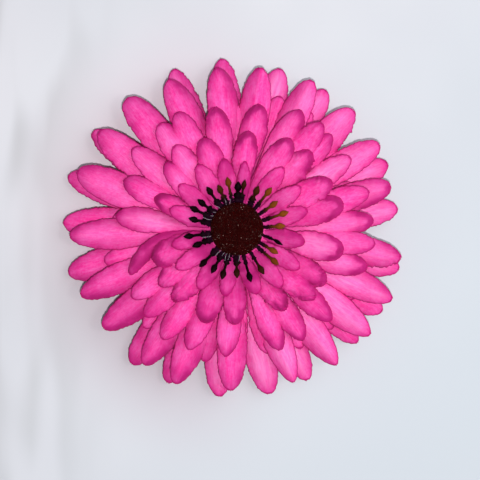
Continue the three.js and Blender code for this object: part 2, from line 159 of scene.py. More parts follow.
SHEETS = [
    Sheet(
        "petal_sheet_1", hub_radius=11, half_angle=7.2, shoulder=0.72, rise=-0.045, curl=1.6, stagger=0,
        petals=[
            Petal(7.4, 53.6, 1.05, frayed=(0.6, 1), pale=0.5, crumpled=0.12),
            Petal(23.6, 54.3, 1.05, frayed=(1, 1), pale=0.4),
            Petal(44.5, 51.8),
            Petal(57.5, 54.6, 1.03, pale=0.4),
            Petal(75, 55, 1.08, pale=0.6),
            Petal(95.1, 56.6, frayed=(0.3, 1.2), darker=0.22, pale=0.3),
            Petal(111.6, 57, bow=1.2, sides=(0.2, 1.2), frayed=(0.3, 1.2), darker=0.15, pale=0.4),
            Petal(129.5, 54.5),
            Petal(146, 57.6, 1.05, sides=(1.4, 0.3), frayed=(1.2, 0.5)),
            Petal(162.5, 58.6, 1.05),
            Petal(177.8, 57.5, 1.1),
            Petal(194.5, 57.6, 1.08, sides=(1.2, 0.4), darker=0.16),
            Petal(215, 51.5, darker=0.28),
            Petal(231.8, 56.4, 1.05, darker=0.3),
            Petal(245.7, 55.6, darker=0.25),
            Petal(263.9, 55.5, bow=-2, pale=0.4, crumpled=0.2),
            Petal(281.1, 55.4, 1.05, bow=-0.6, pale=0.5),
            Petal(295.1, 54.9, 0.95, pale=0.5),
            Petal(316.8, 54.6, 0.86),
            Petal(330.5, 55.1, 1.05, frayed=(1, 1), crumpled=0.15),
            Petal(346.3, 55.1, 1.05, pale=0.35),
        ],
    ),
    Sheet(
        "petal_sheet_2", hub_radius=11, half_angle=6.8, shoulder=0.74, rise=0.01, curl=1.2, stagger=0,
        petals=[
            Petal(3, 42),
            Petal(20, 42),
            Petal(38, 42),
            Petal(57.8, 45.5),
            Petal(72, 45.9, 1.1),
            Petal(90, 41),
            Petal(106, 37.5),
            Petal(122, 39),
            Petal(138, 39),
            Petal(156, 38),
            Petal(175, 41),
            Petal(193.5, 44.8),
            Petal(209, 39.5),
            Petal(226.5, 44.5),
            Petal(241, 42),
            Petal(256, 44.7, darker=0.4),
            Petal(270, 41),
            Petal(284, 42),
            Petal(298.5, 44.4),
            Petal(314, 45.2),
            Petal(330, 44.8),
            Petal(347, 42),
        ],
    ),
    Sheet(
        "petal_sheet_3", hub_radius=10.5, half_angle=7.2, shoulder=0.72, rise=0.06, curl=2.4, stagger=0,
        petals=[
            Petal(15.8, 52.3, sides=(0.3, 1.2), end=1, fullness=2.4, darker=0.05, pale=0.4),
            Petal(30.8, 54.2, bow=0.6, sides=(0.8, 0.5), end=0.3, fullness=2.3, pale=0.3),
            Petal(45.8, 54.5, 1.1, sides=(0.2, 1.6), end=0.3, frayed=(0.2, 1.6), pale=0.3, crumpled=0.12),
            Petal(63.4, 54.4, sides=(1.7, 0.2), end=0.3, pale=0.3),
            Petal(81.7, 53.4, 1.05, sides=(1.9, 0.3), end=0.4),
            Petal(96.7, 53.2, 1.08, bow=-0.5, sides=(0.4, 1.8), end=0.7, fullness=2.2),
            Petal(114.6, 53.8, 1.11, bow=-0.5, sides=(0.6, 2.3), end=0.6),
            Petal(130.2, 56, 1.08, sides=(0.1, 1.2), end=0.9, frayed=(1, 0.4), fullness=2.6, darker=0.08),
            Petal(
                145, 55.2, 1.05, bow=0.9, sides=(0.1, 0.6), end=0.75, frayed=(1.2, 0.4), fullness=2.4,
                pale=0.1,
            ),
            Petal(
                160.2, 55.4, 1.13, bow=0.7, sides=(0.2, 0.9), end=0.75, frayed=(0.4, 0.8), fullness=2.3,
                pale=0.15,
            ),
            Petal(182.1, 54.7, 1.05, sides=(1.2, 1.2), end=0.6, darker=0.06, pale=0.15),
            Petal(202.8, 55.4, sides=(1.5, 0.5), end=0.7, darker=0.17, pale=0.05),
            Petal(216.5, 54.3, 1.05, sides=(1.5, 0.5), end=0.75, darker=0.37, pale=0.15),
            Petal(235.5, 53.7, 1.05, sides=(1.5, 0.5), end=0.75, fullness=1.9, darker=0.2, pale=0.1),
            Petal(248.1, 54.4, 1.03, sides=(1.5, 0.5), end=0.75, fullness=1.9, darker=0.12, pale=0.05),
            Petal(267.7, 52.8, 1.03, sides=(1.5, 0.4), end=0.7, darker=0.06),
            Petal(290.4, 53.3, 0.98, sides=(0.5, 1.4), end=0.3, frayed=(0.4, 0.5), fullness=1.75, pale=0.5),
            Petal(306.4, 55, sides=(0.4, 1.8), end=0.3, frayed=(0.4, 0.5), fullness=1.75, pale=0.35),
            Petal(321.6, 55.5, 1.05, sides=(0.3, 0.8), end=0.45, frayed=(0.4, 0.4), fullness=1.8, pale=0.4),
            Petal(335.6, 55.6, sides=(1.4, 0.4), end=0.5, frayed=(0.4, 0.6), fullness=1.95, pale=0.45),
            Petal(
                350, 54.4, sides=(1.4, 1), end=0.6, frayed=(0.5, 2), fullness=2.35, darker=0.06, pale=0.3,
                crumpled=0.22,
            ),
        ],
    ),
    Sheet(
        "petal_sheet_4", hub_radius=10.5, half_angle=7.2, shoulder=0.76, rise=0.175, curl=2.6, stagger=0.7,
        petals=[
            Petal(3.5, 44.4, end=1.1, pale=0.3),
            Petal(15.8, 44.5, darker=0.06),
            Petal(32.3, 43.5, end=0.5, pale=0.6),
            Petal(44.8, 43.4, sides=(0.4, 1.2), end=0.9, lift=0),
            Petal(51.3, 44, 1.08, end=0.9, frayed=(1, 0.4), lift=0.9, crumpled=0.16),
            Petal(61.8, 43.8, 1.08, sides=(0.4, 1.4), end=1, frayed=(0.3, 1), pale=0.15),
            Petal(79.8, 41.2, 1.15, sides=(0.5, 1.2), end=1.1),
            Petal(100.3, 40.2, 1.12, sides=(0.3, 1.4), end=1.1),
            Petal(117.3, 42.6, 1.05, sides=(0.1, 1.4), end=0.7),
            Petal(126.5, 42.3, 1.1, sides=(0.1, 1.6), end=0.5, pale=0.2),
            Petal(142.6, 42.8, 1.1, sides=(0.1, 1.2), end=0.6, fullness=1.9, pale=0.2),
            Petal(156.6, 40, 1.1, sides=(0.2, 1.1), end=1),
            Petal(173.8, 39.6, 1.1, sides=(0.4, 1.2), end=0.85, darker=0.05, pale=0.45),
            Petal(202, 37.8, 0.8, sides=(0.8, 0.8), fullness=2.6, darker=0.88, swing=-14),
            Petal(212.8, 40.7, sides=(0.4, 1), darker=0.07, crumpled=0.1),
            Petal(223.3, 41.1, sides=(0.3, 1), darker=0.22),
            Petal(235.8, 43.1, sides=(0.4, 1.1), fullness=1.9, darker=0.06),
            Petal(248, 42.1, sides=(0.4, 1), fullness=1.9, darker=0.2),
            Petal(265, 41.5, sides=(1.3, 0.4), end=0.8, fullness=1.95),
            Petal(289.7, 41.6, sides=(1.3, 0.7), end=1, fullness=1.9),
            Petal(301, 42, sides=(1.2, 0.6), end=1, fullness=1.9, darker=0.06, crumpled=0.14),
            Petal(316, 42.6, sides=(1.2, 0.5), end=0.8, fullness=1.85, darker=0.32),
            Petal(343.3, 44.1, sides=(0.6, 1.1), end=1.1, pale=0.35),
            Petal(353.8, 45, 0.92, end=0.8, pale=0.15),
        ],
    ),
    Sheet(
        "petal_sheet_5", hub_radius=10, half_angle=9.6, shoulder=0.72, rise=0.345, curl=2.4, stagger=0.7,
        petals=[
            Petal(13.5, 35.3, 1.05, end=1.35, fullness=2.5, darker=0.22),
            Petal(26.8, 34.2, 1.05, end=1.1, frayed=(0.5, 2), crumpled=0.3),
            Petal(46, 34.6, 1.1, sides=(0.8, 2), end=1, frayed=(0.7, 2.2), pale=0.15, crumpled=0.3),
            Petal(59.3, 33.8, 1.05, sides=(0.9, 0.9), end=1.1, crumpled=0.15),
            Petal(83, 31.9, sides=(0.7, 1), end=1.2, fullness=2.4),
            Petal(110.5, 31.2, 1.15, sides=(0.4, 1.2), end=1, darker=0.19),
            Petal(127, 33.5, 1.05, sides=(0.2, 1.2), end=0.6, pale=0.25),
            Petal(137.5, 31.4, 1.05, sides=(0.4, 0.9), end=0.9, pale=0.2),
            Petal(158.8, 28.6, end=1.2, darker=0.06),
            Petal(200, 28.9, 1.3, sides=(0.4, 0.9), end=1.4, fullness=3, darker=0.4, crumpled=0.35),
            Petal(215.5, 31, 1.05, sides=(0.4, 1.3), end=0.9, darker=0.15, crumpled=0.4),
            Petal(228.5, 30.8, 1.1, sides=(0.6, 1.2), end=1, frayed=(1.4, 1.4), darker=0.18, crumpled=0.5),
            Petal(250, 32, 1.1, sides=(0.9, 0.5), end=1, fullness=2.4, darker=0.42),
            Petal(268.3, 30.7, sides=(1.3, 0.5), end=1.2, fullness=2.4, darker=0.42, crumpled=0.12),
            Petal(301, 30.4, 1.05, sides=(1.2, 0.6), end=1.1, frayed=(1.6, 1.2), darker=0.2, crumpled=0.5),
            Petal(318.5, 33.6, 1.05, sides=(1, 0.6), end=1, frayed=(1.4, 1.2), darker=0.15, crumpled=0.5),
            Petal(329, 33.6, 1.05, sides=(1.1, 0.7), end=1.1, darker=0.31, pale=0.1, crumpled=0.45),
            Petal(348, 34.9, 1.08, end=1.27, fullness=2.6, pale=0.5),
        ],
    ),
    Sheet(
        "petal_sheet_6", hub_radius=9, half_angle=10.8, shoulder=0.66, rise=0.52, curl=1.6, stagger=0.6,
        petals=[
            Petal(15, 23.5, end=0.8, pale=0.2),
            Petal(33, 24.5, pale=0.2),
            Petal(53, 24.8),
            Petal(83, 21.9, 0.8, end=0.35, darker=0.45),
            Petal(101, 22.9, 1.1, end=0.8, darker=0.15),
            Petal(121.5, 24.2, 1.15, end=0.7, darker=0.1, pale=0.2),
            Petal(143, 23.5, 1.08, darker=0.15, pale=0.2),
            Petal(164, 22.5, 1.08, end=0.3, darker=0.26),
            Petal(194.3, 21.6, end=0.3, darker=0.37, crumpled=0.12),
            Petal(213, 23.2, end=0.3, darker=0.28, crumpled=0.12),
            Petal(237, 22.9, darker=0.42, crumpled=0.12),
            Petal(260, 21.9, darker=0.46),
            Petal(287, 21.9, 1.1, end=0.25, darker=0.47),
            Petal(308, 23.5, darker=0.1, pale=0.1),
            Petal(328, 23.8, darker=0.08),
            Petal(349, 22.2, 1.1, end=1, darker=0.16),
        ],
    ),
]

# Stamen ring: azimuth, reach, how much of the olive-brown of the unpainted plastic shows, then for some of
# them their sideways bend and breadth
STAMENS = [
    (3.9, 15.6, 1.0), (18.1, 17.5, 1.0), (33.5, 15.9, 0.9), (49, 17.4, 0.8), (62, 15.5, 0.2),
    (82.3, 16.1, 0.12, -0.5, 0.8), (88.4, 15.3, 0.0, 0, 1.15), (100.3, 17.0, 0.6), (113.2, 15.5, 0.22),
    (126, 16.7, 0.02), (143.8, 15.8, 0), (155.6, 16.8, 0), (168.2, 15.9, 0), (189, 17.3, 0), (201.8, 15.4, 0),
    (225.4, 17.1, 0), (239.6, 16.4, 0), (252.6, 16.9, 0.03), (269.3, 15.8, 0.1), (284.2, 17.6, 0.0),
    (300.3, 16.9, 0.12), (319, 17.6, 0.6), (329.2, 15.4, 0.85), (347, 15.5, 0, -1.7, 0.65),
]
RING_BOTTOM = 14.0
RING_THICKNESS = 0.8
RING_RADIUS = 7.6
STAMEN_ROOT = 6.6
STAMEN_SLOPE = 0.38
STAMEN_SIDES = 12
STAMEN_STEP = 0.22
STAMEN_FLATNESS = 0.6
STAMEN_BEND = 0.25
STAMEN_DROOP = 0.25
STAMEN_SEEDS = 500
FOOT_END = 12.0
NECK_HALF_WIDTH = 0.47
SLIM_FOOT = 0.6
SLIM_FROM_OLIVE = 0.3
SLIM_FROM_AZIMUTH = 280
FOOT_ROUGHNESS = 0.22
ANTHER_ROUGHNESS = 0.04

# Half widths of an anther at distances back from its tip, and of a foot at distances inward of where it ends
ANTHER_BACK = [0, 0.4, 1.0, 1.6, 2.2, 2.7, 3.1, 3.5]
ANTHER_HALF = [0.066, 0.374, 0.748, 0.968, 1.012, 0.858, 0.594, 0.462]
FOOT_BACK = [-0.3, 0.1, 0.6, 3.0, 5.0]
FOOT_HALF = [0.42, 0.8, 1.05, 1.0, 0.9]

# Strands of glue over the stamens' feet, by azimuth
STRANDS = [104, 112, 129, 141, 149, 158, 193, 232, 243, 250, 256, 276]
STRAND_START = 7.4
STRAND_LENGTHS = (2.6, 4.2)
STRAND_RADIUS = 0.07
STRAND_HEIGHT = 0.75
STRAND_DROOP = 0.5
STRAND_SLANT = 4.0
STRAND_WAVINESS = 1.5
STRAND_STEPS = 8
STRAND_SIDES = 5
STRAND_SEEDS = 900

# Button
BUTTON_BOTTOM = 16.2
BUTTON_RADIUS = 8.5
BUTTON_RIM = [(-0.9, 0.0), (-0.25, 0.35), (0.0, 0.9)]
BUTTON_RIM_HEIGHT = 1.6
BUTTON_HEIGHT = 3.8
BUTTON_RINGS = 44
BUTTON_SIDES = 132
BUTTON_SEED = 77
OUT_OF_ROUND = (0.012, 0.008)
FLOCK_UNEVENNESS = 0.09
FIBRES = 7000
FIBRE_LENGTH = 0.34
FIBRE_HALF_WIDTH = 0.075
FIBRE_SINK = 0.1
FIBRE_LEAN = 0.45
PALE_FIBRE_SHARE = 0.006
PALE_FIBRE_BREADTH = 1.5
FIBRE_TINT = 0.25

# The photograph's view: straight down on the flower, from about half a metre
CAMERA_PLACE = (1.0, -3.5, 496.0)
CAMERA_LENS = 111.4
CAMERA_SENSOR = 36.0

# Lights, all aimed at the flower: name, kind, place, power in watts, tint, size. The flash is by the camera.
LIGHTS = [
    ("flash", "POINT", (12.0, -38.5, 496.0), 6.6, (1.0, 0.985, 0.97), 5),
    ("lamp", "POINT", (205, -15, 520), 0.95, (1.0, 0.97, 0.95), 35),
    ("window", "AREA", (560, 190, 430), 3.2, (0.93, 0.95, 1.0), 900),
]
ROOM_TINT = (0.86, 0.9, 1.0, 1.0)
ROOM_STRENGTH = 0.27

# Floor. Each pair of places is where a painted tint sets in, and where it is full: painted shade of soft
# wrinkles, cooler painted light, and painted bounce light and shadow by the flower.
FLOOR_SIDE = 3000
FLOOR_TOP = -0.1
WRINKLE_SHADE_X = (-35, -75)
WRINKLE_SHADE_DISTANCE = (200, 130)
COOL_SLANT = (-80, 150)
BOUNCE_DISTANCE = (84, 50)
BOUNCE_X = (20, -30)
DUSK_Y = (10, -40)


# Petals


def scatter(i, k):
    """A repeatable number from -1 to 1 for piece i of group k."""
    return math.sin(i * 12.9898 + k * 78.233)


def waves(position, lengths, rng):
    """A sum of sine waves of these lengths along position, each with a random phase, from about -1 to 1."""
    phases = rng.uniform(0, 2 * math.pi, len(lengths))
    total = sum(np.sin(2 * math.pi * position / length + phase) for length, phase in zip(lengths, phases))
    return total / math.sqrt(len(lengths))


def crease(drop):
    """Where the crease of a side with this drop lies, from 0 at the petal's middle to 1 at its edge."""
    return 0.25 - 0.15 * min(drop, 2.5)


def fall(across, drop):
    """How far one side of a petal falls: a plain side curls down at its edge, a folded one from a crease."""
    power = 2.4 if drop < 0.8 else 1.35
    return drop * (np.maximum(across - crease(drop), 0) / (1 - crease(drop))) ** power


def side_shade(across, drop):
    """How much deeper the painted shade is on one side, which falls away from the light: it grows with the
    drop, and has a step at the crease.
    """
    strength = min(0.48 * max(drop - 0.1, 0), 0.8)
    step = np.clip((across - crease(drop)) / 0.14, 0, 1) * min(max(drop - 1.1, 0), 0.9)
    return strength * (0.8 * np.clip((across + 0.15) / 1.15, 0, 1) ** 1.3 + 0.4 * step)


class Blade:
    """One petal's middle surface, a grid of points in rows from root to tip, with the values its painted
    shade follows.

    across runs from -1 at the clockwise edge to 1 at the counter-clockwise one. out runs from 0 at the root
    to 1 at the tip, and share from 0 at the hub's edge to 1 at the tip. r is the distance from the flower's
    middle, and even the same before fraying. aside is the distance from the petal's middle line, and edge
    that from its outline.
    """

    def __init__(self, sheet, sheet_number, number, root_azimuth):
        self.petal = petal = sheet.petals[number]
        self.rng = np.random.default_rng(PETAL_SEEDS * sheet_number + number)
        self.tone = scatter(number + 3, sheet_number + 7)
        spread = math.asin(COLUMN_CROWDING)
        columns = np.linspace(-spread, spread, PETAL_COLUMNS + 1)
        self.across = np.sin(columns)[None, :] / math.sin(spread)
        self.out = np.sin(np.linspace(0, math.pi / 2, PETAL_ROWS + 1))[:, None]
        fullness = petal.fullness or TIP_FULLNESS + FULLNESS_SCATTER * scatter(number + 5, sheet_number + 2)
        self.outline(sheet, fullness)
        roll = math.tan(math.radians(ROLL_SCATTER * scatter(number, sheet_number)))
        lift = sheet.stagger * (number % 2) if petal.lift is None else petal.lift
        angle = self.angle(sheet, root_azimuth)
        height = FIRST_HUB_MIDDLE + HUB_PITCH * sheet_number + self.height(sheet, lift, roll)
        place = (self.r * np.cos(angle), self.r * np.sin(angle), height)
        self.points = np.stack(np.broadcast_arrays(*place), axis=-1)
        self.edge = edge_distance(self.points)
        # Painted shade, and a painted sheen kept off the rim and off the shaded parts
        self.dye = self.painted_shade_depth()
        inner = np.clip(self.edge / PALE_MARGIN, 0, 1) * np.clip(2.5 * self.share, 0, 1)
        self.pale = petal.pale * inner * np.clip(1 - self.dye, 0, 1)

    def outline(self, sheet, fullness):
        """Sets how far out and aside each grid point lies, with ragged edges."""
        petal, across = self.petal, self.across
        start = sheet.hub_radius - ROOT_SINK
        shoulder = sheet.shoulder * petal.reach
        round_off = (petal.reach - shoulder) / (1 - TIP_BLUNTNESS**fullness) ** (1 / fullness)
        even = start + (petal.reach - start) * self.out
        rounding = (1 - np.clip((even - shoulder) / round_off, 0, 1) ** fullness) ** (1 / fullness)
        share = np.maximum(even - sheet.hub_radius, 0) / (petal.reach - sheet.hub_radius)
        off_root = np.minimum(2 * share, 1)
        widening = ROOT_BREADTH + (petal.breadth - ROOT_BREADTH) * off_root
        half_width = np.radians(sheet.half_angle) * np.minimum(even, shoulder) * rounding * widening
        ccw_fray, cw_fray = petal.frayed
        ragged = np.where(
            across > 0,
            ccw_fray * waves(even, CCW_FRAY_WAVES, self.rng),
            cw_fray * waves(even, CW_FRAY_WAVES, self.rng),
        )
        half_width = half_width + FRAY_DEPTH * ragged * off_root * rounding**0.5 * np.abs(across)
        tip_fray = TIP_FRAY_DEPTH * (0.5 + (ccw_fray + cw_fray) / 2)
        tip_ragged = tip_fray * waves(across * TIP_FRAY_REACH, TIP_FRAY_WAVES, self.rng)
        self.r = even - TIP_ROUNDING * across**2 * self.out**8 + tip_ragged * share**12
        self.even = even
        self.share = share
        self.rounding = rounding
        self.aside = across * half_width

    def angle(self, sheet, root_azimuth):
        """Each point's azimuth, in radians. A petal leans from its place on the hub to where its tip lies."""
        petal, share = self.petal, self.share
        lean = (root_azimuth - petal.azimuth) * (sheet.hub_radius / self.r) * np.minimum(1 - share, 1)
        bow = 4 * petal.bow * share * (1 - share)
        swing = petal.swing * np.sin(math.pi * share**0.6)
        return np.radians(petal.azimuth + lean + bow + swing) + self.aside / self.r

    def height(self, sheet, lift, roll):
        """Each point's height over the hub: the rise and curl of its sheet, and the petal's own relief."""
        outward = np.maximum(self.r - sheet.hub_radius, 0)
        relief = self.relief(roll)
        bend = BEND_DEPTH * waves(self.even, BEND_WAVES, self.rng) * self.share
        return (
            sheet.rise * (outward**2 / (outward + RISE_EASING))
            - sheet.curl * self.share**CURL_POWER
            - self.petal.end * self.share**END_POWER
            + lift * np.minimum(2 * self.share, 1)
            + (relief + bend) * np.minimum(3 * self.share, 1)
        )

    def relief(self, roll):
        """The fabric's pressed crown, fallen sides, ruffled edges, creases, crumples and fine folds."""
        across, share, even, aside, rng = self.across, self.share, self.even, self.aside, self.rng
        ccw_drop, cw_drop = self.petal.sides
        ccw_fray, cw_fray = self.petal.frayed
        crown = roll * aside - aside**2 / (2 * CROWN_RADIUS)
        edge_roll = EDGE_ROLL * np.abs(across) ** EDGE_ROLL_POWER
        sides = fall(across, ccw_drop) + fall(-across, cw_drop) + edge_roll
        ccw_ruffle = waves(even, CCW_RUFFLE_WAVES, rng)
        cw_ruffle = waves(even, CW_RUFFLE_WAVES, rng)
        ruffle_depth = RUFFLE_DEPTH + FRAYED_RUFFLE_DEPTH * np.where(across > 0, ccw_fray, cw_fray)
        ruffle = ruffle_depth * np.where(across > 0, ccw_ruffle, cw_ruffle) * np.abs(across) ** 4
        creases = 0
        for _ in range(CREASES):
            middle = rng.uniform(-CREASE_PLACE, CREASE_PLACE)
            depth = rng.uniform(*CREASE_DEPTHS)
            away = (across - middle * (1 - 0.4 * share)) / CREASE_BREADTH
            creases = creases + depth * np.exp(-(away**2)) * (1.15 - share)
        crumples = self.crumples()
        folds = FOLD_DEPTH * waves(aside, FOLD_WAVES, rng) * (1 - 0.6 * share)
        off_tip = np.clip(1.15 * self.rounding, 0, 1)
        return crown + folds + crumples - creases + (ruffle - sides) * off_tip

    def crumples(self):
        """Sharp crests in two slanting directions that wander, with small pleats between them."""
        share, even, aside, rng = self.share, self.even, self.aside, self.rng
        slant = even + 1.1 * aside + 0.9 * np.sin(1.3 * aside + 0.5 * even)
        other_slant = aside - 0.55 * even + 0.8 * np.sin(0.9 * even)
        crests = 1.2 - np.abs(waves(slant, LENGTHWISE_CRUMPLE_WAVES, rng))
        crests = crests - np.abs(waves(other_slant, CROSSWISE_CRUMPLE_WAVES, rng))
        pleats = PLEAT_SHARE * np.abs(waves(even - aside, PLEAT_WAVES, rng))
        return self.petal.crumpled * np.clip(1.6 * share - 0.2, 0, 1) * (crests + pleats)

    def painted_shade_depth(self):
        """Depth of the painted shade: deeper at the curled tip and its rim, on fallen sides, near the
        flower's centre, where a tip is bent far down, and on petals given more of it (darker)."""
        petal, across, edge = self.petal, self.across, self.edge
        ccw_drop, cw_drop = petal.sides
        toward_tip = np.clip((self.share - 0.52) / 0.48, 0, 1)
        # Painted shade where the tip curls down, deepest at its rim
        rim = np.clip(1 - edge / RIM_SHADE_WIDTH, 0, 1) ** 1.2 * toward_tip**0.6
        tip = TIP_SHADE * petal.end * (0.4 * toward_tip**1.6 + 0.6 * rim)
        # Painted shade in the flower's throat
        centre = CENTRE_SHADE * np.clip((CENTRE_SHADE_RADIUS - self.r) / CENTRE_SHADE_FADE, 0, 1.2)
        # Painted shade on sides that fall away
        sides = (side_shade(across, ccw_drop) + side_shade(-across, cw_drop)) * (0.4 + 0.6 * toward_tip)
        # Deeper painted shade where a tip is bent far down
        uneven = BENT_TIP_UNEVENNESS * waves(self.aside, BENT_TIP_WAVES, self.rng)
        bent = np.clip((BENT_TIP_WIDTH + uneven - edge) / BENT_TIP_FADE, 0, 1)
        bent = BENT_SHADE * max(petal.end - BENT_FROM, 0) * bent * np.clip((toward_tip - 0.45) / 0.25, 0, 1)
        return np.clip(petal.darker + tip + centre + sides + bent, 0, DEEPEST_SHADE)


def edge_distance(points):
    """Each grid point's distance in plan from the petal's outline: its two sides and its tip."""
    outline = np.concatenate([points[:, 0], points[-1], points[::-1, -1]])[:, :2]
    flat = points[..., :2].reshape(-1, 2)
    gaps = np.linalg.norm(flat[:, None, :] - outline[None, :, :], axis=2)
    return gaps.min(axis=1).reshape(points.shape[:2])


def grid_normals(points):
    """Unit normals of a grid of points, up the side that the grid's rows and columns turn round."""
    along = np.gradient(points, axis=0)
    across = np.gradient(points, axis=1)
    normals = np.cross(along, across)
    return normals / np.linalg.norm(normals, axis=2, keepdims=True)


# Meshes


class Build:
    """Gathers the vertices, faces and attributes of one piece."""

    def __init__(self):
        self.vertices = []
        self.faces = []
        self.attributes = {}
        self.uvs = []
        self.count = 0

    def add(self, vertices, faces, uv=None, **attributes):
        vertices = np.asarray(vertices, float).reshape(-1, 3)
        self.faces.extend([tuple(int(v) + self.count for v in face) for face in faces])
        self.vertices.append(vertices)
        self.uvs.append(np.zeros((len(vertices), 2)) if uv is None else np.asarray(uv, float).reshape(-1, 2))
        for name, values in attributes.items():
            values = np.broadcast_to(np.asarray(values, float), (len(vertices),))
            self.attributes.setdefault(name, []).append(values)
        self.count += len(vertices)

    def piece(self, name, material, replaced):
        mesh = bpy.data.meshes.new(name)
        mesh.from_pydata((np.concatenate(self.vertices) * MM).tolist(), [], self.faces)
        for key, values in self.attributes.items():
            layer = mesh.attributes.new(key, "FLOAT", "POINT")
            layer.data.foreach_set("value", np.concatenate(values).astype(np.float32))
        corners = np.empty(len(mesh.loops), np.int32)
        mesh.loops.foreach_get("vertex_index", corners)
        layer = mesh.uv_layers.new(name="OFBake")
        layer.data.foreach_set("uv", np.concatenate(self.uvs)[corners].astype(np.float32).ravel())
        mesh.polygons.foreach_set("use_smooth", [True] * len(mesh.polygons))
        mesh.materials.append(material)
        mesh.update()
        made = bpy.data.objects.new(name, mesh)
        bpy.context.scene.collection.objects.link(made)
        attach(made, "root")
        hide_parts(*replaced)
        return made


def turn(sides):
    """The angles of this many points round a circle."""
    return np.arange(sides) * 2 * math.pi / sides


def grid_faces(rows, columns, offset=0, flip=False):
    """Four-cornered faces of a grid of (rows + 1) x (columns + 1) vertices."""
    faces = []
    for i in range(rows):
        for j in range(columns):
            a = offset + i * (columns + 1) + j
            face = (a, a + columns + 1, a + columns + 2, a + 1)
            faces.append(face[::-1] if flip else face)
    return faces


def tube_faces(steps, sides):
    """Faces of a tube of steps + 1 rings of vertices, open at both ends."""
    faces = []
    for i in range(steps):
        for j in range(sides):
            a, b = i * sides + j, i * sides + (j + 1) % sides
            faces.append((a, b, b + sides, a + sides))
    return faces


def closed_tube_faces(steps, sides):
    """Faces of such a tube with a flat face at each end."""
    start = tuple(range(sides))[::-1]
    end = tuple(steps * sides + j for j in range(sides))
    return [*tube_faces(steps, sides), start, end]


def washer(radius, bottom, top):
    """Vertices and faces of a flat ring round the pin."""
    profile = [(PIN_HOLE_RADIUS, bottom), (radius, bottom), (radius, top), (PIN_HOLE_RADIUS, top)]
    vertices = [(r * math.cos(a), r * math.sin(a), z) for r, z in profile for a in turn(HUB_SIDES)]
    faces = tube_faces(len(profile) - 1, HUB_SIDES)
    last = (len(profile) - 1) * HUB_SIDES
    for s in range(HUB_SIDES):
        after = (s + 1) % HUB_SIDES
        faces.append((last + s, last + after, after, s))
    return np.array(vertices), faces


def in_cell(place, u, v, cells):
    """Moves texture coordinates from 0 to 1 into one of a grid's cells, counted row by row."""
    return np.stack([(place % cells[0] + u) / cells[0], (place // cells[0] + v) / cells[1]], axis=-1)


def add_blade(build, blade, number, cells):
    """A petal of fabric: both faces of the grid, with the cut edge between them."""
    rows, columns = PETAL_ROWS, PETAL_COLUMNS
    half = grid_normals(blade.points) * FABRIC_THICKNESS / 2
    faces_of_fabric = [blade.points + half, blade.points - half]
    size = (rows + 1) * (columns + 1)
    faces = grid_faces(rows, columns) + grid_faces(rows, columns, size, flip=True)
    rim = list(range(columns))
    rim += [i * (columns + 1) + columns for i in range(rows)]
    rim += [rows * (columns + 1) + j for j in range(columns, 0, -1)]
    rim += [i * (columns + 1) for i in range(rows, 0, -1)]
    for a, b in zip(rim, rim[1:] + rim[:1]):
        faces.append((a, b, b + size, a + size))
    u, v = np.meshgrid(np.linspace(0.04, 0.96, columns + 1), np.linspace(0.02, 0.98, rows + 1))
    build.add(
        np.concatenate([face.reshape(-1, 3) for face in faces_of_fabric]),
        faces,
        uv=np.concatenate([in_cell(2 * number + face, u, v, cells).reshape(-1, 2) for face in (0, 1)]),
        edge=np.tile(blade.edge.ravel(), 2),
        width=np.tile(blade.aside.ravel(), 2),
        dye=np.tile(blade.dye.ravel(), 2),
        pale=np.tile(blade.pale.ravel(), 2),
        reach=np.tile(np.linalg.norm(blade.points[..., :2], axis=2).ravel(), 2),
        tone=blade.tone,
    )


def add_hub(build, sheet, sheet_number, place, cells):
    """The round middle of a sheet, with its hole for the pin."""
    middle = FIRST_HUB_MIDDLE + HUB_PITCH * sheet_number
    vertices, faces = washer(sheet.hub_radius, middle - HUB_THICKNESS / 2, middle + HUB_THICKNESS / 2)
    spot = 0.5 + 0.45 * vertices[:, :2] / sheet.hub_radius
    uv = in_cell(place, spot[:, 0], spot[:, 1], cells)
    away = {"edge": 3.0, "width": 0.0, "dye": 0.0, "pale": 0.0, "reach": sheet.hub_radius, "tone": 0.0}
    build.add(vertices, faces, uv=uv, **away)


def petal_sheet(sheet, sheet_number, material):
    build = Build()
    count = len(sheet.petals)
    spacing = 360 / count
    first = sum(petal.azimuth - i * spacing for i, petal in enumerate(sheet.petals)) / count
    cells = (CELLS_ACROSS, math.ceil((2 * count + 1) / CELLS_ACROSS))
    for number in range(count):
        blade = Blade(sheet, sheet_number, number, first + number * spacing)
        add_blade(build, blade, number, cells)
    add_hub(build, sheet, sheet_number, 2 * count, cells)
    return build.piece(sheet.name + "_fabric", material, [sheet.name])


# Stamens and strands of glue


def stamen_half_width(back, inward):
    """Half width of a stamen at places this far back from its tip and this far inward of its foot's end."""
    anther = np.interp(back, ANTHER_BACK, ANTHER_HALF)
    foot = np.interp(inward, FOOT_BACK, FOOT_HALF)
    return np.where(back < ANTHER_BACK[-1], anther, foot)


